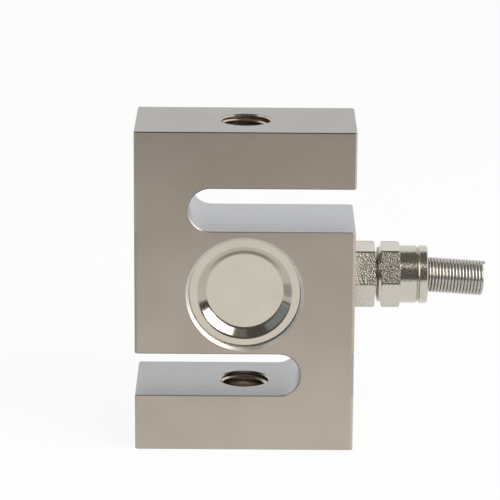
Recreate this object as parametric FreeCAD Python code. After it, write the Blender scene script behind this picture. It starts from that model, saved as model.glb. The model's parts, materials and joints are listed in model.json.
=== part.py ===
import FreeCAD, Part

import math
import os

# S type load cell, 2 x 3 x 1 inch, with M12 x 1.75 threads. Millimetres.
# Origin: centre of the bottom face, on the axis of both threads.
# +Z runs up the load axis, +X towards the cable gland, -Y is the front.

# Block and slots
BLOCK_W = 50.8
BLOCK_H = 76.2
BLOCK_T = 25.4
EDGE_BREAK = 0.2
CORNER_BREAK = 0.4
ARM_H = 13.3
SLOT_H = 10.1
SLOT_PAST_CENTRE = 13.0
THREAD_R = 6.0

MID_Z = BLOCK_H / 2
LOWER_SLOT = (ARM_H, ARM_H + SLOT_H)
UPPER_SLOT = (BLOCK_H - ARM_H - SLOT_H, BLOCK_H - ARM_H)

# Gauge pockets, one from each face, with the shear web between them
POCKET_Z = MID_Z - 0.3
WEB_T = 4.0
MOUTH_R = 13.6
SEAT_R = 12.95
SEAT_DEPTH = 2.5
POCKET_R = 11.4
POCKET_FILLET = 0.8
POCKET_DEPTH = (BLOCK_T - WEB_T) / 2

# Dished cover discs
SHEET_T = 0.8
COVER_CLEARANCE = 0.03
RIM_BREAK = 0.15
DISH_TOP_R = 11.0
DISH_FLOOR_R = 8.9
DISH_DEPTH = 1.25
BEND_R = 1.0

# Strain gauges
CARRIER = (3.6, 5.2, 0.12)
CARRIER_MARGIN = 0.35
CARRIER_CORNER = 0.4
SOLDER_TAB = 1.1
FOIL_T = 0.05
GRID_STRANDS = 8
GRID_LENGTH = 2.8
GRID_PITCH = 0.3
STRAND_W = 0.16
GAUGE_X = -0.8
GAUGE_RISE = 2.9

# Terminal boards, resistors and ribbon
BOARD_X = (5.6, 9.0)
BOARD_HALF_H = 5.3
BOARD_T = 0.8
BOARD_CORNER_R = 0.4
PAD_R = 0.5
PAD_INSET = 0.8
PAD_HEIGHTS = (-4.65, 3.4, 4.6)
DOME_R = 0.7
CHIP = (1.6, 3.2, 0.6)
CHIP_DROP = 2.5
CAP_L = 0.6
CAP_LIP = 0.06
CAP_CORNER_R = 0.12
RIBBON_CORES = 4
CORE_R = 0.33
CORE_PITCH = 0.6
RIBBON_BEND_R = 3.13
RIBBON_START_X = 6.4
POTTING_T = 2.2

# Cable gland, measured outwards from the side face along its own axis
GLAND_Z = MID_Z + 1.25
PORT_R = 5.0
PORT_BEVEL = 0.4
PORT_DEPTH = 9.0
CHANNEL_R = 3.5
CHANNEL_END_X = 9.5
THREAD_CLEARANCE = 0.05
SHANK_L = 8.0
SHANK_BEVEL = 0.5
UNDERCUT = 0.35
UNDERCUT_L = 0.85
HEX_FLATS = 13.6
HEX_BEVEL_R = 7.4
HEX_BEVEL_ANGLE = 30
BODY_TURN = 27.0
NUT_TURN = 28.4
HEX_END = 4.9
NUT_START = 5.4
COLLAR_END = 6.3
NUT_HEX_END = 10.7
BARREL_END = 14.5
GROOVE_START = 14.8
GROOVE_END = 14.95
RING_START = 15.2
NUT_END = 17.15
COLLAR_R = 6.55
COLLAR_STEP = 0.25
COLLAR_BEVEL = 0.35
BARREL_R = 6.75
GROOVE_R = 6.35
END_RING_R = 6.8
RING_BEVEL = 0.12
RIM_BEVEL = 0.25
NUT_BORE_R = 5.3
NUT_MOUTH_R = 4.6
BORE_BEVEL = 0.3
NECK_R = 5.2
NECK_RELIEF = 0.3
NECK_BEVEL = 0.4
NECK_END = 12.1
CABLE_BORE_R = 3.2
CONE_START = 7.6
CONE_R = 4.5
O_RING_SEAT_R = 6.3
O_RING_SEAT_DEPTH = 0.75
BUSH_END = 12.6
BUSH_BORE_R = 2.6
WASHER_END = 13.4
FLANGE_END = 14.4
FERRULE_BORE_R = 2.25
FERRULE_STUB_R = 3.0
FERRULE_BEVEL = 0.2
FERRULE_END = 15.9
LOOSE_FIT = 0.15
SLIDE_FIT = 0.03

# Close-wound spring guard, which leaves the nut at a slight angle
WIRE_D = 0.74
SPRING_PITCH = 0.776
SPRING_HALF_TURNS = 39
SPRING_OUTER_R = 4.1
SPRING_START = 14.86
SPRING_PIVOT = 16.8
SPRING_DROOP = 5.2
SPRING_SWING = 5.5

UP = FreeCAD.Vector(0, 0, 1)
BACK = FreeCAD.Vector(0, 1, 0)
OUT = FreeCAD.Vector(1, 0, 0)


def revolved(profile, origin, axis, radial):
    """Full turn of a closed (along axis, radius) profile about an axis."""
    corners = [origin + axis * along + radial * radius for along, radius in profile]
    face = Part.Face(Part.makePolygon(corners + corners[:1]))
    return face.revolve(origin, axis, 360)


def cylinder(radius, start, end, origin, axis):
    return Part.makeCylinder(radius, end - start, origin + axis * start, axis)


def circles_of_radius(solid, radius, along_y):
    """Circular edges of one radius that lie in one plane of constant Y."""
    return [
        edge
        for edge in solid.Edges
        if isinstance(edge.Curve, Part.Circle)
        and abs(edge.Curve.Radius - radius) < 1e-4
        and abs(edge.Curve.Center.y - along_y) < 1e-4
    ]


# ---------------------------------------------------------------- beam body

def s_outline():
    """The S shape seen from the front: a block cut by two round-ended slots."""
    half = BLOCK_W / 2
    end_r = SLOT_H / 2
    turn_x = SLOT_PAST_CENTRE - end_r

    def at(x, z):
        return FreeCAD.Vector(x, -BLOCK_T / 2, z)

    def slot(side, first_z, last_z):
        middle = (first_z + last_z) / 2
        return [
            Part.makeLine(at(-side * half, first_z), at(side * turn_x, first_z)),
            Part.Arc(
                at(side * turn_x, first_z),
                at(side * SLOT_PAST_CENTRE, middle),
                at(side * turn_x, last_z),
            ).toShape(),
            Part.makeLine(at(side * turn_x, last_z), at(-side * half, last_z)),
        ]

    right_slot = slot(-1, UPPER_SLOT[0], UPPER_SLOT[1])
    left_slot = slot(1, LOWER_SLOT[1], LOWER_SLOT[0])
    edges = [
        Part.makeLine(at(-half, 0), at(half, 0)),
        Part.makeLine(at(half, 0), at(half, UPPER_SLOT[0])),
        *right_slot,
        Part.makeLine(at(half, UPPER_SLOT[1]), at(half, BLOCK_H)),
        Part.makeLine(at(half, BLOCK_H), at(-half, BLOCK_H)),
        Part.makeLine(at(-half, BLOCK_H), at(-half, LOWER_SLOT[1])),
        *left_slot,
        Part.makeLine(at(-half, LOWER_SLOT[0]), at(-half, 0)),
    ]
    return Part.Wire(edges)


def s_block():
    """The S extruded through the block's thickness, with every edge broken."""
    block = Part.Face(s_outline()).extrude(BACK * BLOCK_T)

    def at_side(edge):
        return abs(abs(edge.CenterOfMass.x) - BLOCK_W / 2) < CORNER_BREAK

    def upright(edge):
        first, last = (vertex.Point for vertex in edge.Vertexes)
        return abs(first.x - last.x) < 1e-6 and abs(first.y - last.y) < 1e-6

    def runs_through(edge):
        return abs(edge.CenterOfMass.y) < 1e-6

    corners = [edge for edge in block.Edges if at_side(edge) and upright(edge)]
    block = block.makeChamfer(CORNER_BREAK, corners)
    sharp = [
        edge
        for edge in block.Edges
        if not (at_side(edge) and upright(edge)) and (at_side(edge) or not runs_through(edge))
    ]
    return block.makeChamfer(EDGE_BREAK, sharp)


def gauge_pocket(side):
    """Stepped round pocket from one face down to the web, with its cover seat."""
    bevel = MOUTH_R - SEAT_R
    origin = FreeCAD.Vector(0, side * BLOCK_T / 2, POCKET_Z)
    profile = [
        (-1, 0),
        (-1, MOUTH_R),
        (0, MOUTH_R),
        (bevel, SEAT_R),
        (SEAT_DEPTH, SEAT_R),
        (SEAT_DEPTH, POCKET_R),
        (POCKET_DEPTH, POCKET_R),
        (POCKET_DEPTH, 0),
    ]
    pocket = revolved(profile, origin, BACK * -side, UP)
    floor_edge = circles_of_radius(pocket, POCKET_R, side * WEB_T / 2)
    return pocket.makeFillet(POCKET_FILLET, floor_edge)


def gland_port():
    """Threaded port for the gland and the wire channel that reaches both pockets."""
    face = BLOCK_W / 2
    channel_depth = face - CHANNEL_END_X
    profile = [
        (-1, 0),
        (-1, PORT_R + PORT_BEVEL),
        (0, PORT_R + PORT_BEVEL),
        (PORT_BEVEL, PORT_R),
        (PORT_DEPTH, PORT_R),
        (PORT_DEPTH + PORT_BEVEL, CHANNEL_R),
        (channel_depth, CHANNEL_R),
        (channel_depth, 0),
    ]
    return revolved(profile, FreeCAD.Vector(face, 0, GLAND_Z), OUT * -1, UP)


def s_beam_body():
    threads = cylinder(THREAD_R, -1, BLOCK_H + 1, FreeCAD.Vector(0, 0, 0), UP)
    middle = Part.makeBox(
        BLOCK_W,
        BLOCK_T,
        UPPER_SLOT[0] - LOWER_SLOT[1] + SLOT_H,
        FreeCAD.Vector(-BLOCK_W / 2, -BLOCK_T / 2, LOWER_SLOT[1] - SLOT_H / 2),
    )
    arm_threads = threads.cut(middle)
    return s_block().cut([arm_threads, gauge_pocket(-1), gauge_pocket(1), gland_port()])


# ------------------------------------------------------------------- covers

def dished_cover(side):
    """Pressed disc: a flat flange on the seat and a shallow dish that reaches inwards."""
    flange = SEAT_DEPTH - SHEET_T
    rim = SEAT_R - COVER_CLEARANCE
    floor = flange + DISH_DEPTH
    slope = math.atan2(DISH_DEPTH, DISH_TOP_R - DISH_FLOOR_R)
    back_shift = SHEET_T * math.tan(slope / 2)
    face_y = side * BLOCK_T / 2
    origin = FreeCAD.Vector(0, face_y, POCKET_Z)
    profile = [
        (flange, DISH_TOP_R),
        (flange, rim - RIM_BREAK),
        (flange + RIM_BREAK, rim),
        (SEAT_DEPTH, rim),
        (SEAT_DEPTH, DISH_TOP_R + back_shift),
        (floor + SHEET_T, DISH_FLOOR_R + back_shift),
        (floor + SHEET_T, 0),
        (floor, 0),
        (floor, DISH_FLOOR_R),
    ]
    cover = revolved(profile, origin, BACK * -side, UP)
    for radius, depth, bend in (
        (DISH_TOP_R, flange, BEND_R),
        (DISH_FLOOR_R, floor, BEND_R),
        (DISH_FLOOR_R + back_shift, floor + SHEET_T, BEND_R + SHEET_T),
    ):
        cover = cover.makeFillet(bend, circles_of_radius(cover, radius, face_y - side * depth))
    return cover


# ------------------------------------------------- bridge inside the pockets

def foil_grid():
    """Serpentine foil strip lying in the XZ plane: strands joined end to end."""
    corners = []
    for strand in range(GRID_STRANDS):
        x = (strand - (GRID_STRANDS - 1) / 2) * GRID_PITCH
        reach = GRID_LENGTH / 2 if strand % 2 else -GRID_LENGTH / 2
        corners += [FreeCAD.Vector(x, 0, reach), FreeCAD.Vector(x, 0, -reach)]
    strip = Part.makePolygon(corners).makeOffset2D(STRAND_W / 2, 2, True)
    return strip.extrude(BACK * -FOIL_T)


def strain_gauge(side, height, turn):
    """Foil gauge bonded to the web: carrier film, serpentine grid, two tabs."""
    width, length, thickness = CARRIER
    low_z = CARRIER_MARGIN - length / 2
    carrier = Part.makeBox(width, thickness, length, FreeCAD.Vector(-width / 2, -thickness, -length / 2))
    corner_edges = [edge for edge in carrier.Edges if abs(edge.Length - thickness) < 1e-6]
    carrier = carrier.makeChamfer(CARRIER_CORNER, corner_edges)
    grid = foil_grid()
    grid.translate(FreeCAD.Vector(0, -thickness, -low_z - GRID_LENGTH / 2))
    tabs = [
        Part.makeBox(SOLDER_TAB, FOIL_T, SOLDER_TAB, FreeCAD.Vector(x, -thickness - FOIL_T, low_z))
        for x in (CARRIER_MARGIN - width / 2, width / 2 - CARRIER_MARGIN - SOLDER_TAB)
    ]
    gauge = carrier.fuse([grid, *tabs])
    gauge.rotate(FreeCAD.Vector(0, 0, 0), BACK, turn)
    gauge.translate(FreeCAD.Vector(GAUGE_X, -WEB_T / 2, POCKET_Z + height))
    return gauge if side < 0 else mirrored_to_rear(gauge)


def mirrored_to_rear(shape):
    return shape.mirror(FreeCAD.Vector(0, 0, 0), BACK)


def terminal_board(side):
    """Glass-fibre terminal strip with a domed solder joint for each wire."""
    low_x, high_x = BOARD_X
    web_y = -WEB_T / 2
    board = Part.makeBox(
        high_x - low_x,
        BOARD_T,
        2 * BOARD_HALF_H,
        FreeCAD.Vector(low_x, web_y - BOARD_T, POCKET_Z - BOARD_HALF_H),
    )
    through_board = [edge for edge in board.Edges if abs(edge.Length - BOARD_T) < 1e-6]
    board = board.makeFillet(BOARD_CORNER_R, through_board)
    sink = math.sqrt(DOME_R ** 2 - PAD_R ** 2)
    domes = []
    for height in PAD_HEIGHTS:
        for x in (low_x + PAD_INSET, high_x - PAD_INSET):
            centre = FreeCAD.Vector(x, web_y - BOARD_T + sink, POCKET_Z + height)
            whole = Part.makeSphere(DOME_R, centre)
            domes.append(whole.cut(cylinder(DOME_R, -sink, DOME_R, centre, BACK)))
    board = board.fuse(domes)
    return board if side < 0 else mirrored_to_rear(board)


def chip_resistor(side):
    """Chip resistor on the board: ceramic body between two wrapped end caps."""
    width, length, thickness = CHIP
    centre_x = sum(BOARD_X) / 2
    base_y = -WEB_T / 2 - BOARD_T
    centre_z = POCKET_Z - CHIP_DROP
    body = Part.makeBox(
        width,
        thickness,
        length,
        FreeCAD.Vector(centre_x - width / 2, base_y - thickness, centre_z - length / 2),
    )
    caps = []
    for low_z in (centre_z - length / 2, centre_z + length / 2 - CAP_L):
        cap = Part.makeBox(
            width + 2 * CAP_LIP,
            thickness + CAP_LIP,
            CAP_L,
            FreeCAD.Vector(centre_x - width / 2 - CAP_LIP, base_y - thickness - CAP_LIP, low_z),
        )
        along_z = [edge for edge in cap.Edges if abs(edge.Length - CAP_L) < 1e-6]
        caps.append(cap.makeFillet(CAP_CORNER_R, along_z))
    chip = body.fuse(caps)
    return chip if side < 0 else mirrored_to_rear(chip)


def bridge_ribbon():
    """Four-core ribbon that loops round the web's edge from front to rear board."""
    bend_x = CHANNEL_END_X + 0.5
    straight = bend_x - RIBBON_START_X
    circles = [
        Part.Face(Part.Wire(Part.makeCircle(CORE_R, FreeCAD.Vector(bend_x, -RIBBON_BEND_R, z), OUT)))
        for z in (GLAND_Z + (core - (RIBBON_CORES - 1) / 2) * CORE_PITCH for core in range(RIBBON_CORES))
    ]
    section = circles[0].fuse(circles[1:]).removeSplitter().Faces[0]
    bend = section.revolve(FreeCAD.Vector(bend_x, 0, GLAND_Z), UP, 180)
    front_run = section.extrude(OUT * -straight)
    return bend.fuse([front_run, mirrored_to_rear(front_run)])


def potting(side, embedded):
    """Silicone poured over the web, the gauges and the terminal board."""
    web_y = -WEB_T / 2
    layer = Part.makeBox(
        4 * POCKET_R,
        POTTING_T,
        4 * POCKET_R,
        FreeCAD.Vector(-2 * POCKET_R, web_y - POTTING_T, POCKET_Z - 2 * POCKET_R),
    )
    if side > 0:
        layer = mirrored_to_rear(layer)
    return layer.common(gauge_pocket(side)).cut(embedded)


# -------------------------------------------------------------------- gland

def gland_origin():
    return FreeCAD.Vector(BLOCK_W / 2, 0, GLAND_Z)


def hexagon(start, end, turn, bevelled_ends):
    """Hexagonal section along the gland axis, with the corners turned off at its ends."""
    corner_r = HEX_FLATS / math.sqrt(3)
    bevel = (corner_r - HEX_BEVEL_R) * math.tan(math.radians(HEX_BEVEL_ANGLE))
    corners = []
    for step in range(7):
        angle = math.radians(turn + 60 * step)
        radial = FreeCAD.Vector(0, math.sin(angle), math.cos(angle))
        corners.append(gland_origin() + OUT * start + radial * corner_r)
    prism = Part.Face(Part.makePolygon(corners)).extrude(OUT * (end - start))
    profile = [(start, 0), (start, corner_r + 1), (end, corner_r + 1), (end, 0)]
    if "start" in bevelled_ends:
        profile[1:2] = [(start, HEX_BEVEL_R), (start + bevel, corner_r), (start + bevel, corner_r + 1)]
    if "end" in bevelled_ends:
        profile[-2:-1] = [(end - bevel, corner_r + 1), (end - bevel, corner_r), (end, HEX_BEVEL_R)]
    return prism.common(revolved(profile, gland_origin(), OUT, UP))


def gland_body():
    """Threaded shank, hexagon and threaded neck, bored right through."""
    shank_r = PORT_R - THREAD_CLEARANCE
    undercut_r = shank_r - UNDERCUT
    root_r = NECK_R - NECK_RELIEF
    collar_start = O_RING_SEAT_DEPTH + COLLAR_STEP
    outer = [
        (-SHANK_L, CABLE_BORE_R),
        (-SHANK_L, shank_r - SHANK_BEVEL),
        (-SHANK_L + SHANK_BEVEL, shank_r),
        (-UNDERCUT_L - UNDERCUT, shank_r),
        (-UNDERCUT_L, undercut_r),
        (O_RING_SEAT_DEPTH, undercut_r),
        (O_RING_SEAT_DEPTH, O_RING_SEAT_R),
        (collar_start, O_RING_SEAT_R),
        (collar_start, root_r),
        (NUT_START, root_r),
        (NUT_START + NECK_RELIEF, NECK_R),
        (NECK_END - NECK_BEVEL, NECK_R),
        (NECK_END, NECK_R - NECK_BEVEL),
        (NECK_END, CONE_R),
        (CONE_START, CABLE_BORE_R),
    ]
    stem = revolved(outer, gland_origin(), OUT, UP)
    seat = cylinder(O_RING_SEAT_R, -1, O_RING_SEAT_DEPTH, gland_origin(), OUT)
    through = cylinder(root_r, 0, HEX_END + 1, gland_origin(), OUT)
    collar = hexagon(0, HEX_END, BODY_TURN, ("end",)).cut([seat, through])
    return stem.fuse(collar)


def cap_nut():
    """Cap nut turned from hexagon bar: collar, hexagon, barrel, groove, end ring."""
    root_r = COLLAR_R - COLLAR_STEP
    round_parts = [
        (NUT_START, NUT_BORE_R + BORE_BEVEL),
        (NUT_START, COLLAR_R - COLLAR_BEVEL),
        (NUT_START + COLLAR_BEVEL, COLLAR_R),
        (COLLAR_END, COLLAR_R),
        (COLLAR_END + COLLAR_STEP, root_r),
        (NUT_HEX_END, root_r),
        (NUT_HEX_END, BARREL_R),
        (BARREL_END, BARREL_R),
        (GROOVE_START, GROOVE_R),
        (GROOVE_END, GROOVE_R),
        (RING_START, END_RING_R - RING_BEVEL),
        (RING_START + RING_BEVEL, END_RING_R),
        (NUT_END - RIM_BEVEL, END_RING_R),
        (NUT_END, END_RING_R - RIM_BEVEL),
        (NUT_END, NUT_MOUTH_R + BORE_BEVEL),
        (NUT_END - BORE_BEVEL, NUT_MOUTH_R),
        (FLANGE_END, NUT_MOUTH_R),
        (FLANGE_END, NUT_BORE_R),
        (NUT_START + BORE_BEVEL, NUT_BORE_R),
    ]
    turned = revolved(round_parts, gland_origin(), OUT, UP)
    flats = hexagon(COLLAR_END, NUT_HEX_END, NUT_TURN, ("start", "end"))
    bore = cylinder(NUT_BORE_R, COLLAR_END - 1, NUT_HEX_END + 1, gland_origin(), OUT)
    return turned.fuse(flats.cut(bore))


def gland_o_ring():
    """Ring squeezed flat between the side face and the seat under the hexagon."""
    inner_r = PORT_R + LOOSE_FIT
    outer_r = O_RING_SEAT_R - LOOSE_FIT
    round_off = O_RING_SEAT_DEPTH * 0.3
    profile = [
        (0, inner_r + round_off),
        (0, outer_r - round_off),
        (round_off, outer_r),
        (O_RING_SEAT_DEPTH - round_off, outer_r),
        (O_RING_SEAT_DEPTH, outer_r - round_off),
        (O_RING_SEAT_DEPTH, inner_r + round_off),
        (O_RING_SEAT_DEPTH - round_off, inner_r),
        (round_off, inner_r),
    ]
    return revolved(profile, gland_origin(), OUT, UP)


def seal_bush():
    """Tapered rubber bush that the neck's cone squeezes onto the cable."""
    slope = (CONE_R - CABLE_BORE_R) / (NECK_END - CONE_START)
    start = CONE_START + BORE_BEVEL
    profile = [
        (start, BUSH_BORE_R),
        (start, CABLE_BORE_R + BORE_BEVEL * slope - SLIDE_FIT),
        (NECK_END, CONE_R - SLIDE_FIT),
        (BUSH_END, CONE_R - SLIDE_FIT),
        (BUSH_END, BUSH_BORE_R),
    ]
    return revolved(profile, gland_origin(), OUT, UP)


def thrust_washer():
    """Flat ring between the rubber bush and the ferrule."""
    profile = [
        (BUSH_END, BUSH_BORE_R + BORE_BEVEL),
        (BUSH_END, NUT_BORE_R - LOOSE_FIT),
        (WASHER_END, NUT_BORE_R - LOOSE_FIT),
        (WASHER_END, BUSH_BORE_R + BORE_BEVEL),
    ]
    return revolved(profile, gland_origin(), OUT, UP)


def spring_ferrule():
    """Flanged sleeve, trapped in the nut, that carries the spring's first turns."""
    profile = [
        (WASHER_END, FERRULE_BORE_R + BORE_BEVEL),
        (WASHER_END, NUT_BORE_R - LOOSE_FIT),
        (FLANGE_END, NUT_BORE_R - LOOSE_FIT),
        (FLANGE_END, FERRULE_STUB_R),
        (FERRULE_END - FERRULE_BEVEL, FERRULE_STUB_R),
        (FERRULE_END, FERRULE_STUB_R - FERRULE_BEVEL),
        (FERRULE_END, FERRULE_BORE_R),
        (WASHER_END + BORE_BEVEL, FERRULE_BORE_R),
    ]
    return revolved(profile, gland_origin(), OUT, UP)


def spring_guard():
    """Close-wound right-hand coil of round wire, tipped about the nut's mouth.

    Each half turn is half a torus, tilted to climb by half the pitch. The halves
    meet tangentially, because every second joint lies on the opposite side.
    """
    coil_r = SPRING_OUTER_R - WIRE_D / 2
    wire_r = WIRE_D / 2
    joints = [
        FreeCAD.Vector(coil_r if half % 2 == 0 else -coil_r, 0, half * SPRING_PITCH / 2)
        for half in range(SPRING_HALF_TURNS + 1)
    ]
    faces = [Part.Face(Part.Wire(Part.makeCircle(wire_r, joint, BACK))) for joint in (joints[0], joints[-1])]
    for start, end in zip(joints, joints[1:]):
        climb = end - start
        axis = climb.cross(BACK) if climb.x > 0 else BACK.cross(climb)
        faces.append(Part.makeCircle(wire_r, start, BACK).revolve((start + end) / 2, axis, 180))
    skin = Part.Shell(faces)
    skin.sewShape()
    coil = Part.Solid(skin)
    coil.translate(UP * (SPRING_START + wire_r - SPRING_PIVOT))
    coil.rotate(FreeCAD.Vector(0, 0, 0), BACK, 90 + SPRING_DROOP)
    coil.rotate(FreeCAD.Vector(0, 0, 0), UP, SPRING_SWING)
    coil.translate(gland_origin() + OUT * SPRING_PIVOT)
    return coil


# ------------------------------------------------------------------ assembly

def load_cell():
    """Every separate piece, by name."""
    pieces = {
        "s_beam_body": s_beam_body(),
        "front_cover": dished_cover(-1),
        "rear_cover": dished_cover(1),
        "bridge_ribbon": bridge_ribbon(),
        "gland_body": gland_body(),
        "gland_o_ring": gland_o_ring(),
        "seal_bush": seal_bush(),
        "thrust_washer": thrust_washer(),
        "spring_ferrule": spring_ferrule(),
        "cap_nut": cap_nut(),
        "spring_guard": spring_guard(),
    }
    for face, side in (("front", -1), ("rear", 1)):
        bridge = {
            f"{face}_upper_gauge": strain_gauge(side, GAUGE_RISE, 45),
            f"{face}_lower_gauge": strain_gauge(side, -GAUGE_RISE, -45),
            f"{face}_terminal_board": terminal_board(side),
            f"{face}_resistor": chip_resistor(side),
        }
        embedded = [*bridge.values(), pieces["bridge_ribbon"]]
        pieces.update(bridge)
        pieces[f"{face}_potting"] = potting(side, embedded)
    return pieces


os.makedirs("parts", exist_ok=True)
for name, shape in load_cell().items():
    print(f"{name:22s} volume {shape.Volume:10.2f} mm3  valid {shape.isValid()}  solids {len(shape.Solids)}")
    shape.exportStep(f"parts/{name}.step")
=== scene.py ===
import json
import math

import bmesh
import bpy
from mathutils import Matrix, Vector

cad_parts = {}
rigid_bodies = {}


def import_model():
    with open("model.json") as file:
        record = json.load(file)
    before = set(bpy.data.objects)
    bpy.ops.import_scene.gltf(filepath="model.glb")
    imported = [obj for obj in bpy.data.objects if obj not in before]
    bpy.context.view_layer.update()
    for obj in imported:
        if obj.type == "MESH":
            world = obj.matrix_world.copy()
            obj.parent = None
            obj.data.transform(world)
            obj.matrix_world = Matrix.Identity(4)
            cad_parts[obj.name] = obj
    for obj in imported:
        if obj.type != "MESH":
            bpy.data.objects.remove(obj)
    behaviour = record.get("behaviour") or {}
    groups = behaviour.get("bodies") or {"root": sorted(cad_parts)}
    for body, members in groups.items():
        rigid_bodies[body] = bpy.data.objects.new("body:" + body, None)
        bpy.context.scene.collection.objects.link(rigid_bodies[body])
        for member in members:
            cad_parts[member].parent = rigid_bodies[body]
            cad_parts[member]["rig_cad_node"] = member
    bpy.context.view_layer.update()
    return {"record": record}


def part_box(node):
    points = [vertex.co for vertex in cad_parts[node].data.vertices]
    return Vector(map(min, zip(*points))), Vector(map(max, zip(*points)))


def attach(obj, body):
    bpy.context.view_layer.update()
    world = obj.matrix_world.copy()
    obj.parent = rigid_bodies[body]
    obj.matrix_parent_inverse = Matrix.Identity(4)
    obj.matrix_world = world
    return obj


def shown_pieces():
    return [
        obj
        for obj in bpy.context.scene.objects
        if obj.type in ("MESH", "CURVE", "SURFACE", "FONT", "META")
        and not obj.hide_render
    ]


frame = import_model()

# S type load cell: finish of the steel block, its covers, gland and spring,
# and the M12 x 1.75 threads in the two arms. Metres, in the CAD's own frame.

MM = 0.001

MOUNTS = {mount["name"]: mount for mount in frame["record"]["mounts"]}
BLOCK_LOW, BLOCK_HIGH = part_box("s_beam_body")
COVER_LOW, COVER_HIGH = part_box("front_cover")
NUT_LOW, NUT_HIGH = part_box("cap_nut")

# Thread form
PITCH = 1.75 * MM
STEPS_PER_TURN = 96
CREST_DEPTH = 0.95 * MM
CREST_HALF = PITCH / 8
ROOT_HALF = PITCH * 7 / 16
ROOT_SINK = 0.02 * MM
MOUTH_BEVEL = 0.05 * MM
MOUTH_LIP = 0.32 * MM
MOUTH_LIP_LENGTH = 1.6 * MOUTH_LIP
MOUTH_STEPS = 128

# Where the block's finish changes; each slot's zone reaches 0.1 mm past its walls
LOWER_SLOT = (13.2 * MM, 23.5 * MM)
UPPER_SLOT = (52.7 * MM, 63.0 * MM)
SLOT_SIDE_MARGIN = 0.06 * MM
SLOT_FACE_MARGIN = 0.02 * MM
SLOT_LINES_Y = (-6.4 * MM, -9.1 * MM)
SLOT_LINE_HALF = 0.15 * MM
SLOT_LINE_BLUR = 0.1 * MM
SLOT_LINE_STRENGTH = 0.6
ARM_MARGIN = 0.08 * MM
BORE_R = 6.06 * MM
POCKET_MOUTH_R = 13.62 * MM
EDGE_ZONE = 0.21 * MM
SHARP = 0.02 * MM

# Where the covers' finish changes
POCKET_Z = (COVER_LOW[2] + COVER_HIGH[2]) / 2
DISH_WALL = (8.9 * MM, 11.0 * MM)
# Painted shade: a brown band at the dish's bend that rises in over the upper half
DISH_BEND = (9.1 * MM, 9.95 * MM)
DISH_BLUR = 0.25 * MM
BEND_SHADE_RISE = (POCKET_Z + 4.5 * MM, POCKET_Z + 8.5 * MM)
BEND_SHADE_STRENGTH = 0.9

# Where the gland's finish changes
GLAND_Z = (NUT_LOW[2] + NUT_HIGH[2]) / 2
NUT_START_X = NUT_LOW[0]
NUT_FLATS_END_X = NUT_START_X + 5.3 * MM
GLAND_STEP = 0.1 * MM
# Painted shade along the hexagons' edges, heavier on the upper side
HEX_EDGE_R = 7.71 * MM
HEX_EDGE_BLUR = 0.03 * MM
HEX_EDGE_FADE = 0.5 * MM
HEX_EDGE_STRENGTH = 0.95
LOWER_EDGE_SHARE = 0.35

# Cloudy tones, darkest and lightest
FACE_TONES = ((0.468, 0.410, 0.350), (0.530, 0.470, 0.407))
# Painted light: a neutral grey on the top and bottom faces stands in for the cooler light
# they get
END_FACE_LIGHT_TONES = ((0.385, 0.375, 0.352), (0.430, 0.420, 0.396))
MILLED_TONES = ((0.405, 0.412, 0.425), (0.445, 0.452, 0.465))
# Painted shade: the lower slot's walls, darker than the upper's
SHADED_MILLED_TONES = ((0.355, 0.360, 0.366), (0.39, 0.395, 0.401))
THREAD_TONES = ((0.50, 0.44, 0.38), (0.62, 0.56, 0.50))
SHEET_TONES = ((0.56, 0.515, 0.435), (0.60, 0.555, 0.475))
DRAWN_SHEET_TONES = ((0.41, 0.385, 0.33), (0.46, 0.43, 0.375))
PLATED_TONES = ((0.525, 0.50, 0.44), (0.62, 0.59, 0.525))
WIRE_TONES = ((0.42, 0.40, 0.37), (0.52, 0.50, 0.465))
FILM_TONES = ((0.42, 0.20, 0.04), (0.56, 0.30, 0.08))

# The faces' tone follows cloud and grain together; this range of the mix is used
CLOUD_SHARE = 0.6
FACE_TONE_RANGE = (0.38, 0.62)

# Even tones laid over them
SLOT_LINE_TONE = (0.27, 0.275, 0.28)
# Painted highlight on the block's upright corners
CORNER_HIGHLIGHT_TONE = (0.62, 0.58, 0.52)
# Pocket bevel and wall: partly bright bored metal, partly painted light over the shaded gap
# at the cover's rim
POCKET_MOUTH_METAL_AND_LIGHT_TONE = (0.78, 0.77, 0.74)
# Painted shade: a dark line along the block's top front edge
TOP_EDGE_SHADE_TONE = (0.11, 0.10, 0.095)
# Painted shade: dark brown on the walls of the threaded bores
BORE_SHADE_TONE = (0.26, 0.21, 0.16)
# Painted shade at the cover dish's bend
BEND_SHADE_TONE = (0.20, 0.16, 0.11)
# Painted shade on the gland's hexagon edges
HEX_EDGE_SHADE_TONE = (0.10, 0.09, 0.075)

# How deep the plating's grain is: everywhere, and what hexagons add to that
GRAIN_DEPTH = 0.45
FLATS_GRAIN_DEPTH = 0.13
BODY_GRAIN_DEPTH = 0.32

# Non-metals: dark and light tone, patches per metre, roughness, bump distance
SOFT_FINISHES = {
    "board_laminate": ((0.03, 0.13, 0.05), (0.05, 0.19, 0.08), 700, 0.35, 0.01 * MM),
    "chip_ceramic": ((0.02, 0.02, 0.025), (0.05, 0.05, 0.06), 900, 0.3, 0.005 * MM),
    "ribbon_sleeve": ((0.20, 0.20, 0.21), (0.28, 0.28, 0.29), 600, 0.45, 0.01 * MM),
    "silicone_gel": ((0.55, 0.55, 0.52), (0.68, 0.68, 0.65), 300, 0.2, 0.02 * MM),
    "black_rubber": ((0.012, 0.012, 0.012), (0.03, 0.03, 0.03), 800, 0.55, 0.01 * MM),
    "nylon": ((0.62, 0.60, 0.53), (0.72, 0.70, 0.63), 500, 0.4, 0.01 * MM),
}
SOFT_FINE_SCALE = 6
SOFT_GLOSS_RANGE = 0.06


# ------------------------------------------------------------------ materials

def empty_material(name):
    """A new material with a bare node tree, and that tree."""
    material = bpy.data.materials.new(name)
    material.use_nodes = True
    material.node_tree.nodes.clear()
    return material, material.node_tree


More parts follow.
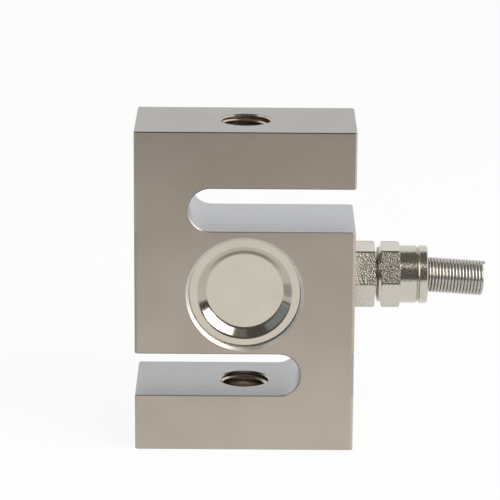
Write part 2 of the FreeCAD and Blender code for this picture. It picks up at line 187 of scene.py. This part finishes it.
class Nodes:
    """Short way to lay out one material's node tree."""

    def __init__(self, name):
        self.material, self.tree = empty_material(name)
        self.shader = self.add("ShaderNodeBsdfPrincipled")
        output = self.add("ShaderNodeOutputMaterial")
        self.link(self.shader.outputs["BSDF"], output.inputs["Surface"])
        self.place = self.add("ShaderNodeTexCoord").outputs["Object"]

    def add(self, kind, **settings):
        node = self.tree.nodes.new(kind)
        for key, value in settings.items():
            setattr(node, key, value)
        return node

    def link(self, source, target):
        self.tree.links.new(source, target)

    def axes(self):
        """The X, Y and Z of the shaded point."""
        split = self.add("ShaderNodeSeparateXYZ")
        self.link(self.place, split.inputs["Vector"])
        return [split.outputs[axis] for axis in "XYZ"]

    def stretched(self, scale):
        mapping = self.add("ShaderNodeMapping")
        mapping.inputs["Scale"].default_value = scale
        self.link(self.place, mapping.inputs["Vector"])
        return mapping.outputs["Vector"]

    def noise(self, scale, detail, roughness=0.5, stretch=None):
        """Fractal noise; scale counts its largest patches per metre."""
        node = self.add("ShaderNodeTexNoise")
        node.inputs["Scale"].default_value = scale
        node.inputs["Detail"].default_value = detail
        node.inputs["Roughness"].default_value = roughness
        self.link(self.stretched(stretch) if stretch else self.place, node.inputs["Vector"])
        return node.outputs["Fac"]

    def remap(self, value, low, high, from_low=0.3, from_high=0.7):
        """Straight ramp; left alone, it takes the range that noise mostly fills."""
        node = self.add("ShaderNodeMapRange")
        node.inputs["From Min"].default_value = from_low
        node.inputs["From Max"].default_value = from_high
        node.inputs["To Min"].default_value = low
        node.inputs["To Max"].default_value = high
        self.link(value, node.inputs["Value"])
        return node.outputs["Result"]

    def math(self, operation, first, second):
        node = self.add("ShaderNodeMath", operation=operation)
        for socket, value in zip(node.inputs, (first, second)):
            if isinstance(value, (int, float)):
                socket.default_value = value
            else:
                self.link(value, socket)
        return node.outputs["Value"]

    def blend(self, factor, first, second):
        node = self.add("ShaderNodeMix", data_type="RGBA")
        self.link(factor, node.inputs["Factor"])
        for socket, value in ((node.inputs["A"], first), (node.inputs["B"], second)):
            if isinstance(value, tuple):
                socket.default_value = (*value, 1.0)
            else:
                self.link(value, socket)
        return node.outputs["Result"]

    def bump(self, height, distance, strength, normal=None):
        node = self.add("ShaderNodeBump")
        node.inputs["Strength"].default_value = strength
        node.inputs["Distance"].default_value = distance
        self.link(height, node.inputs["Height"])
        if normal is not None:
            self.link(normal, node.inputs["Normal"])
        return node.outputs["Normal"]

    def finish(self, colour, roughness, normal, metallic=0.0, coat=0.0):
        sockets = self.shader.inputs
        sockets["Metallic"].default_value = metallic
        sockets["Coat Weight"].default_value = coat
        self.link(colour, sockets["Base Color"])
        self.link(roughness, sockets["Roughness"])
        self.link(normal, sockets["Normal"])
        return self.material


def band(m, value, low, high, blur=SHARP):
    """1 between two values of a coordinate, 0 outside, with a short ramp."""
    rise = m.remap(value, 0.0, 1.0, low - blur, low + blur)
    fall = m.remap(value, 1.0, 0.0, high - blur, high + blur)
    return m.math("MULTIPLY", rise, fall)


def axis_distance(m, keep, height=0.0):
    """Distance from an axis through this height: a length with one component dropped."""
    shifted = m.add("ShaderNodeVectorMath", operation="SUBTRACT")
    m.link(m.place, shifted.inputs[0])
    shifted.inputs[1].default_value = (0.0, 0.0, height)
    flat = m.add("ShaderNodeVectorMath", operation="MULTIPLY")
    m.link(shifted.outputs["Vector"], flat.inputs[0])
    flat.inputs[1].default_value = keep
    length = m.add("ShaderNodeVectorMath", operation="LENGTH")
    m.link(flat.outputs["Vector"], length.inputs[0])
    return length.outputs["Value"]


def pocket_radius(m):
    """Distance from the axis that both gauge pockets share."""
    return axis_distance(m, (1.0, 0.0, 1.0), POCKET_Z)


def slot_zone(m, x, y, z):
    """1 on the walls of both slots, short of the block's outer faces."""
    half_w, half_t = BLOCK_HIGH[0], BLOCK_HIGH[1]
    through = band(m, y, SLOT_FACE_MARGIN - half_t, half_t - SLOT_FACE_MARGIN)
    across = band(m, x, SLOT_SIDE_MARGIN - half_w, half_w - SLOT_SIDE_MARGIN)
    levels = m.math("ADD", band(m, z, *LOWER_SLOT), band(m, z, *UPPER_SLOT))
    return m.math("MULTIPLY", m.math("MULTIPLY", through, across), levels)


def bore_zone(m, z):
    """1 on the walls of the threaded bores, which lie in the arms only; painted shade goes
    there.
    """
    arms = m.math(
        "ADD",
        m.math("LESS_THAN", z, LOWER_SLOT[0] + ARM_MARGIN),
        m.math("GREATER_THAN", z, UPPER_SLOT[1] - ARM_MARGIN),
    )
    from_load_axis = axis_distance(m, (1.0, 1.0, 0.0))
    return m.math("MULTIPLY", arms, m.math("LESS_THAN", from_load_axis, BORE_R))


def pocket_mouth_zone(m, z):
    """1 on the bevel and wall of the pockets, below the upper slot."""
    near_pocket = m.math("LESS_THAN", pocket_radius(m), POCKET_MOUTH_R)
    return m.math("MULTIPLY", near_pocket, m.math("LESS_THAN", z, UPPER_SLOT[0]))


def corner_highlight_zone(m, x, y):
    """1 on the broken upright corners, where a painted highlight goes."""
    half_w, half_t = BLOCK_HIGH[0], BLOCK_HIGH[1]
    beside = m.math("GREATER_THAN", m.math("ABSOLUTE", x, 0.0), half_w - EDGE_ZONE)
    before = m.math("GREATER_THAN", m.math("ABSOLUTE", y, 0.0), half_t - EDGE_ZONE)
    return m.math("MULTIPLY", beside, before)


def milled_colour(m, cloud, y, z):
    """Grey of the slots' walls, darker in the lower one as painted shade, with fine cutter
    lines.
    """
    patch = m.remap(cloud, 0.0, 1.0)
    bright = m.blend(patch, *MILLED_TONES)
    shaded = m.blend(patch, *SHADED_MILLED_TONES)
    colour = m.blend(m.math("LESS_THAN", z, POCKET_Z), bright, shaded)
    for line_y in SLOT_LINES_Y:
        line = band(m, y, line_y - SLOT_LINE_HALF, line_y + SLOT_LINE_HALF, SLOT_LINE_BLUR)
        colour = m.blend(m.math("MULTIPLY", line, SLOT_LINE_STRENGTH), colour, SLOT_LINE_TONE)
    return colour


def beam_steel():
    """Satin nickel over ground steel and milled slots; the pocket mouths are partly bright
    bored metal and partly painted light.
    """
    m = Nodes("beam_steel")
    x, y, z = m.axes()
    slot = slot_zone(m, x, y, z)
    near_top = m.math("GREATER_THAN", z, BLOCK_HIGH[2] - EDGE_ZONE)
    ends = m.math("ADD", near_top, m.math("LESS_THAN", z, BLOCK_LOW[2] + EDGE_ZONE))
    at_front = m.math("LESS_THAN", y, BLOCK_LOW[1] + EDGE_ZONE)
    # Painted shade: dark line along the top front edge only
    top_edge_shade = m.math("MULTIPLY", near_top, at_front)

    cloud = m.noise(45, detail=2.0)
    grain = m.noise(9000, detail=2.0)
    tone = m.math(
        "ADD",
        m.math("MULTIPLY", cloud, CLOUD_SHARE),
        m.math("MULTIPLY", grain, 1 - CLOUD_SHARE),
    )
    patch = m.remap(tone, 0.0, 1.0, *FACE_TONE_RANGE)
    # Painted light: neutral grey on the top and bottom faces
    colour = m.blend(ends, m.blend(patch, *FACE_TONES), m.blend(patch, *END_FACE_LIGHT_TONES))
    colour = m.blend(slot, colour, milled_colour(m, cloud, y, z))
    for zone, even_tone in (
        # painted highlight on the upright corners
        (corner_highlight_zone(m, x, y), CORNER_HIGHLIGHT_TONE),
        # partly bright bored metal, partly painted light
        (pocket_mouth_zone(m, z), POCKET_MOUTH_METAL_AND_LIGHT_TONE),
        # painted shade along the top front edge
        (top_edge_shade, TOP_EDGE_SHADE_TONE),
        # painted shade in the threaded bores
        (bore_zone(m, z), BORE_SHADE_TONE),
    ):
        colour = m.blend(zone, colour, even_tone)

    roughness = m.blend(slot, m.remap(grain, 0.38, 0.46), m.remap(cloud, 0.26, 0.32))
    normal = m.bump(grain, distance=0.004 * MM, strength=0.6)
    return m.finish(colour, roughness, normal, metallic=1.0)


def thread_steel():
    """Cut thread, oily and brighter than the bore behind it."""
    m = Nodes("thread_steel")
    smear = m.noise(1500, detail=3.0, stretch=(1.0, 1.0, 3.0))
    colour = m.blend(m.remap(smear, 0.0, 1.0), *THREAD_TONES)
    normal = m.bump(smear, distance=0.006 * MM, strength=0.4)
    return m.finish(colour, m.remap(smear, 0.12, 0.22), normal, metallic=1.0)


def cover_steel():
    """Pressed stainless sheet: duller on the drawn wall, with painted shade as a brown band
    at the bend, on the upper half only.
    """
    m = Nodes("cover_steel")
    z = m.axes()[2]
    radius = pocket_radius(m)
    cloud = m.noise(160, detail=3.0)
    grain = m.noise(6000, detail=2.0)
    patch = m.remap(cloud, 0.0, 1.0)
    wall = band(m, radius, *DISH_WALL, DISH_BLUR)
    colour = m.blend(wall, m.blend(patch, *SHEET_TONES), m.blend(patch, *DRAWN_SHEET_TONES))
    # Painted shade: brown band at the bend, upper half only
    bend = band(m, radius, *DISH_BEND, DISH_BLUR)
    upper = m.remap(z, 0.0, BEND_SHADE_STRENGTH, *BEND_SHADE_RISE)
    colour = m.blend(m.math("MULTIPLY", bend, upper), colour, BEND_SHADE_TONE)
    normal = m.bump(grain, distance=0.002 * MM, strength=0.25)
    return m.finish(colour, m.remap(cloud, 0.09, 0.13), normal, metallic=1.0)


def hex_edge_shade_zone(m, z):
    """Painted shade along the hexagons' edges, standing in for their dark reflections,
    strongest on the upper side.
    """
    from_axis = axis_distance(m, (0.0, 1.0, 1.0), GLAND_Z)
    inner, outer = HEX_EDGE_R - HEX_EDGE_BLUR, HEX_EDGE_R + HEX_EDGE_BLUR
    lower, upper = GLAND_Z - HEX_EDGE_FADE, GLAND_Z + HEX_EDGE_FADE
    edge = m.remap(from_axis, 0.0, HEX_EDGE_STRENGTH, inner, outer)
    faded = m.remap(z, LOWER_EDGE_SHARE, 1.0, lower, upper)
    return m.math("MULTIPLY", edge, faded)


def gland_nickel():
    """Nickel over turned brass, grainy on the hexagons and most on the body's."""
    m = Nodes("gland_nickel")
    x, _, z = m.axes()
    on_body = m.remap(x, 1.0, 0.0, NUT_START_X - GLAND_STEP, NUT_START_X)
    on_flats = m.remap(x, 1.0, 0.0, NUT_FLATS_END_X, NUT_FLATS_END_X + GLAND_STEP)
    grain = m.noise(2100, detail=3.0, roughness=0.65)
    turning = m.noise(5200, detail=2.0, stretch=(1.0, 0.08, 0.08))
    colour = m.blend(m.remap(grain, 0.0, 1.0), *PLATED_TONES)
    # Painted shade along the hexagon edges
    colour = m.blend(hex_edge_shade_zone(m, z), colour, HEX_EDGE_SHADE_TONE)
    added_depth = m.math(
        "ADD",
        m.math("MULTIPLY", on_flats, FLATS_GRAIN_DEPTH),
        m.math("MULTIPLY", on_body, BODY_GRAIN_DEPTH),
    )
    height = m.math("MULTIPLY", grain, m.math("ADD", added_depth, GRAIN_DEPTH))
    rough_cast = m.bump(height, distance=0.11 * MM, strength=0.8)
    normal = m.bump(turning, distance=0.012 * MM, strength=0.5, normal=rough_cast)
    return m.finish(colour, m.remap(grain, 0.12, 0.20), normal, metallic=1.0)


def spring_wire():
    """Bright drawn wire with faint die lines."""
    m = Nodes("spring_wire")
    smear = m.noise(1500, detail=3.0)
    colour = m.blend(m.remap(smear, 0.0, 1.0), *WIRE_TONES)
    normal = m.bump(smear, distance=0.004 * MM, strength=0.4)
    return m.finish(colour, m.remap(smear, 0.18, 0.28), normal, metallic=1.0)


def gauge_film():
    """Amber film over a metal foil grid that stands proud of it."""
    m = Nodes("gauge_film")
    patch = m.noise(900, detail=2.0)
    colour = m.blend(m.remap(patch, 0.0, 1.0), *FILM_TONES)
    normal = m.bump(patch, distance=0.003 * MM, strength=0.4)
    return m.finish(colour, m.remap(patch, 0.22, 0.34), normal, coat=0.3)


def soft_material(name, dark, light, scale, roughness, distance):
    """Non-metal finish: two close tones, uneven gloss and a fine bump."""
    m = Nodes(name)
    patch = m.noise(scale, detail=3.0)
    fine = m.noise(scale * SOFT_FINE_SCALE, detail=2.0)
    colour = m.blend(m.remap(patch, 0.0, 1.0), dark, light)
    gloss = m.remap(fine, roughness - SOFT_GLOSS_RANGE, roughness + SOFT_GLOSS_RANGE)
    return m.finish(colour, gloss, m.bump(fine, distance, strength=0.5))


THREAD_STEEL = thread_steel()
SLOT_MATERIALS = {
    "beam_steel": beam_steel(),
    "cover_steel": cover_steel(),
    "gland_nickel": gland_nickel(),
    "spring_wire": spring_wire(),
    "gauge_film": gauge_film(),
    **{name: soft_material(name, *look) for name, look in SOFT_FINISHES.items()},
}


def dress_cad_nodes():
    """Give every CAD node the material of its slot in the record."""
    slots = {part["node"]: part["material_slot"] for part in frame["record"]["subparts"]}
    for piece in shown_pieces():
        node = piece.get("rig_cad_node")
        if node:
            piece.data.materials.clear()
            piece.data.materials.append(SLOT_MATERIALS[slots[node]])


# -------------------------------------------------------------------- threads

def thread_section(centre_z, wall_r, low_z, high_z):
    """Radius and height of one cut through the thread ridge, bevelled at the mouths."""
    crest_r = wall_r - CREST_DEPTH
    middle_r = (wall_r + crest_r) / 2
    middle_half = (ROOT_HALF + CREST_HALF) / 2
    shape = [
        (wall_r + ROOT_SINK, -ROOT_HALF),
        (middle_r, -middle_half),
        (crest_r, -CREST_HALF),
        (crest_r, CREST_HALF),
        (middle_r, middle_half),
        (wall_r + ROOT_SINK, ROOT_HALF),
    ]
    section = []
    for radius, offset in shape:
        z = centre_z + offset
        depth = min(z - low_z, high_z - z)
        section.append((max(radius, wall_r + MOUTH_BEVEL - depth), z))
    return section


def sweep_ring(mesh, rings, closed):
    """Skin a list of equal rings of points; a closed sweep joins last to first."""
    following = rings[1:] + rings[:1] if closed else rings[1:]
    for ring, after in zip(rings, following):
        for side in range(len(ring)):
            beside = (side + 1) % len(ring)
            mesh.faces.new((ring[side], ring[beside], after[beside], after[side]))
    if not closed:
        mesh.faces.new(rings[0][::-1])
        mesh.faces.new(rings[-1])


def ring_points(mesh, section, angle):
    return [
        mesh.verts.new((radius * math.cos(angle), radius * math.sin(angle), z))
        for radius, z in section
    ]


def add_ridge(mesh, low_z, high_z, wall_r):
    """Right-hand helical ridge that stands inwards from the bore's wall."""
    start = low_z + ROOT_HALF + ROOT_SINK
    end = high_z - ROOT_HALF - ROOT_SINK
    steps = int((end - start) / PITCH * STEPS_PER_TURN)
    rings = []
    for step in range(steps + 1):
        turn = step / STEPS_PER_TURN
        section = thread_section(start + PITCH * turn, wall_r, low_z, high_z)
        rings.append(ring_points(mesh, section, 2 * math.pi * turn))
    sweep_ring(mesh, rings, closed=False)


def add_mouth_lip(mesh, mouth_z, inward, wall_r):
    """What the 45 degree countersink leaves of the first crest at one mouth."""
    outer_r = wall_r + ROOT_SINK
    section = [
        (outer_r, mouth_z + inward * MOUTH_BEVEL),
        (wall_r - MOUTH_LIP, mouth_z + inward * (MOUTH_LIP + MOUTH_BEVEL)),
        (outer_r, mouth_z + inward * (MOUTH_LIP_LENGTH + MOUTH_BEVEL)),
    ]
    rings = [
        ring_points(mesh, section, 2 * math.pi * step / MOUTH_STEPS)
        for step in range(MOUTH_STEPS)
    ]
    sweep_ring(mesh, rings, closed=True)


def bored_thread(name, low_z, high_z, wall_r):
    """Thread of one arm: helical ridge and a lip at each mouth."""
    mesh = bmesh.new()
    add_ridge(mesh, low_z, high_z, wall_r)
    add_mouth_lip(mesh, low_z, 1, wall_r)
    add_mouth_lip(mesh, high_z, -1, wall_r)
    bmesh.ops.recalc_face_normals(mesh, faces=mesh.faces)
    data = bpy.data.meshes.new(name)
    mesh.to_mesh(data)
    mesh.free()
    data.materials.append(THREAD_STEEL)
    piece = bpy.data.objects.new(name, data)
    bpy.context.scene.collection.objects.link(piece)
    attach(piece, "root")


def threads():
    """Both threads, where the record's mounts put them."""
    for side in ("lower", "upper"):
        mount = MOUNTS[f"{side}_thread"]
        wall_r = mount["dims"]["r_mm"] * MM
        length = mount["dims"]["length_mm"] * MM
        mouth_z = mount["pos_m"][2]
        inner_z = mouth_z - mount["axis"][2] * length
        bored_thread(f"{side}_thread", min(mouth_z, inner_z), max(mouth_z, inner_z), wall_r)


# --------------------------------------------------------------- studio set-up

AIM = Vector((0.0, 0.0, 0.038))
WORLD_LIGHT = 0.55

CAMERA_PLACE = (0.00161, -0.63613, 0.22581)
CAMERA_TURN, CAMERA_TILT, CAMERA_ROLL = 0.041, 90 - 15.872, 0.368
CAMERA_LENS = 203.7
CAMERA_SENSOR = 36.0
CAMERA_CLIP = (0.01, 20.0)

# Floor: left, right, front and back; the colour that takes the shadow; and how
# much of what is seen glows white instead.
FLOOR_PLACE = (-0.60, 0.60, -0.33, 2.00)
FLOOR_GAP = 0.05 * MM
FLOOR_COLOUR = (0.93, 0.93, 0.92)
FLOOR_WHITE = 0.90

# Painted shade: dark sheets on the floor that only the metal mirrors: left, right, front,
# back; glow.
FLOOR_SHADE_Z = 0.1 * MM
FLOOR_SHADES = {
    "front_shade": ((-0.90, 0.90, -0.90, -0.225), (0.16, 0.15, 0.135)),
    "left_shade": ((-0.40, -0.06, -0.10, 0.06), (0.56, 0.58, 0.58)),
}

# Bearings are seen from the object: degrees right of the front, degrees up, metres.
# Lamps: bearing, width and height, watts, colour.
LAMPS = {
    "right_softbox": ((50.0, 31.0, 0.92), (0.80, 0.86), 8.3, (1.0, 0.98, 0.95)),
}

# Studio walls that only the metal mirrors: bearing, width and height, glow.
CARDS = {
    "camera_wall": ((0.0, 15.0, 1.40), (3.2, 2.10), (0.14, 0.13, 0.12)),
    "ceiling_wall": ((0.0, 80.0, 1.40), (1.5, 2.00), (0.15, 0.145, 0.13)),
    "front_fill": ((9.0, 48.0, 1.10), (0.36, 0.24), (0.30, 0.305, 0.28)),
    "right_wall": ((57.0, 3.0, 1.20), (0.55, 0.30), (0.06, 0.055, 0.05)),
    "right_wing": ((86.0, 36.0, 0.90), (0.36, 0.85), (1.3, 1.3, 1.25)),
    "left_window": ((-58.0, 22.0, 1.00), (0.72, 0.85), (0.36, 0.40, 0.43)),
    "left_wall": ((-98.0, 20.0, 1.20), (1.00, 1.20), (0.24, 0.24, 0.23)),
}


def camera():
    """Long lens a little above the block, square on to its front face."""
    data = bpy.data.cameras.new("camera")
    data.sensor_width = CAMERA_SENSOR
    data.lens = CAMERA_LENS
    data.clip_start, data.clip_end = CAMERA_CLIP
    view = bpy.data.objects.new("camera", data)
    turn = Matrix.Rotation(math.radians(CAMERA_TURN), 4, "Z")
    tilt = Matrix.Rotation(math.radians(CAMERA_TILT), 4, "X")
    roll = Matrix.Rotation(math.radians(CAMERA_ROLL), 4, "Z")
    view.matrix_world = Matrix.Translation(CAMERA_PLACE) @ turn @ tilt @ roll
    bpy.context.scene.collection.objects.link(view)
    bpy.context.scene.camera = view


def bearing_point(azimuth, elevation, distance):
    """Point at a bearing from the object's middle; azimuth 0 is the front."""
    across, up = math.radians(azimuth), math.radians(elevation)
    flat = math.cos(up)
    way = Vector((flat * math.sin(across), -flat * math.cos(across), math.sin(up)))
    return AIM + distance * way


def lamp(name, bearing, size, power, colour):
    """Softbox turned towards the object."""
    data = bpy.data.lights.new(name, "AREA")
    data.shape = "RECTANGLE"
    data.size, data.size_y = size
    data.energy = power
    data.color = colour
    lamp_object = bpy.data.objects.new(name, data)
    place = bearing_point(*bearing)
    lamp_object.location = place
    lamp_object.rotation_euler = (AIM - place).to_track_quat("-Z", "Y").to_euler()
    bpy.context.scene.collection.objects.link(lamp_object)


def background_rays(tree, low, high):
    """Low for lighting rays, high where camera, mirror or glass sees the surface."""
    path = tree.nodes.new("ShaderNodeLightPath")
    seen = path.outputs["Is Camera Ray"]
    for kind in ("Is Glossy Ray", "Is Transmission Ray"):
        either = tree.nodes.new("ShaderNodeMath")
        either.operation = "MAXIMUM"
        tree.links.new(seen, either.inputs[0])
        tree.links.new(path.outputs[kind], either.inputs[1])
        seen = either.outputs["Value"]
    level = tree.nodes.new("ShaderNodeMapRange")
    level.inputs["To Min"].default_value = low
    level.inputs["To Max"].default_value = high
    tree.links.new(seen, level.inputs["Value"])
    return level.outputs["Result"]


def world():
    """White where it is seen, softer as a source of light."""
    setting = bpy.data.worlds.new("studio")
    setting.use_nodes = True
    tree = setting.node_tree
    tree.nodes.clear()
    background = tree.nodes.new("ShaderNodeBackground")
    background.inputs["Color"].default_value = (1.0, 1.0, 1.0, 1.0)
    tree.links.new(background_rays(tree, WORLD_LIGHT, 1.0), background.inputs["Strength"])
    output = tree.nodes.new("ShaderNodeOutputWorld")
    tree.links.new(background.outputs["Background"], output.inputs["Surface"])
    bpy.context.scene.world = setting


def plane(name, corners, material):
    """One rectangle of the studio, from its four corners."""
    data = bpy.data.meshes.new(name)
    data.from_pydata(corners, [], [(0, 1, 2, 3)])
    data.materials.append(material)
    piece = bpy.data.objects.new(name, data)
    bpy.context.scene.collection.objects.link(piece)
    return piece


def level_corners(place, z):
    """Corners of a level rectangle, from its left, right, front and back."""
    left, right, front, back = place
    return [(left, front, z), (right, front, z), (right, back, z), (left, back, z)]


def floor():
    """Pale plane that reads as white and keeps the object's shadow."""
    material, tree = empty_material("floor")
    diffuse = tree.nodes.new("ShaderNodeBsdfDiffuse")
    diffuse.inputs["Color"].default_value = (*FLOOR_COLOUR, 1.0)
    glow = tree.nodes.new("ShaderNodeEmission")
    glow.inputs["Color"].default_value = (1.0, 1.0, 1.0, 1.0)
    mix = tree.nodes.new("ShaderNodeMixShader")
    tree.links.new(background_rays(tree, 0.0, FLOOR_WHITE), mix.inputs["Fac"])
    tree.links.new(diffuse.outputs["BSDF"], mix.inputs[1])
    tree.links.new(glow.outputs["Emission"], mix.inputs[2])
    output = tree.nodes.new("ShaderNodeOutputMaterial")
    tree.links.new(mix.outputs["Shader"], output.inputs["Surface"])
    plane("floor", level_corners(FLOOR_PLACE, BLOCK_LOW[2] - FLOOR_GAP), material)


def glowing(name, corners, glow):
    """Evenly lit rectangle that shows in reflections only."""
    material, tree = empty_material(name)
    emission = tree.nodes.new("ShaderNodeEmission")
    emission.inputs["Color"].default_value = (*glow, 1.0)
    output = tree.nodes.new("ShaderNodeOutputMaterial")
    tree.links.new(emission.outputs["Emission"], output.inputs["Surface"])
    piece = plane(name, corners, material)
    piece.visible_camera = False
    piece.visible_diffuse = False
    piece.visible_shadow = False


def card(name, bearing, size, glow):
    """Studio wall that faces the object."""
    centre = bearing_point(*bearing)
    facing = (AIM - centre).normalized()
    across = facing.cross(Vector((0.0, 0.0, 1.0))).normalized() * size[0] / 2
    rise = across.cross(facing).normalized() * size[1] / 2
    signs = ((-1, -1), (1, -1), (1, 1), (-1, 1))
    glowing(name, [centre + across * u + rise * v for u, v in signs], glow)


dress_cad_nodes()
threads()
camera()
world()
floor()
for name, (bearing, size, power, colour) in LAMPS.items():
    lamp(name, bearing, size, power, colour)
for name, (bearing, size, glow) in CARDS.items():
    card(name, bearing, size, glow)
for name, (place, glow) in FLOOR_SHADES.items():
    glowing(name, level_corners(place, FLOOR_SHADE_Z), glow)

bpy.context.scene.view_settings.view_transform = "Standard"
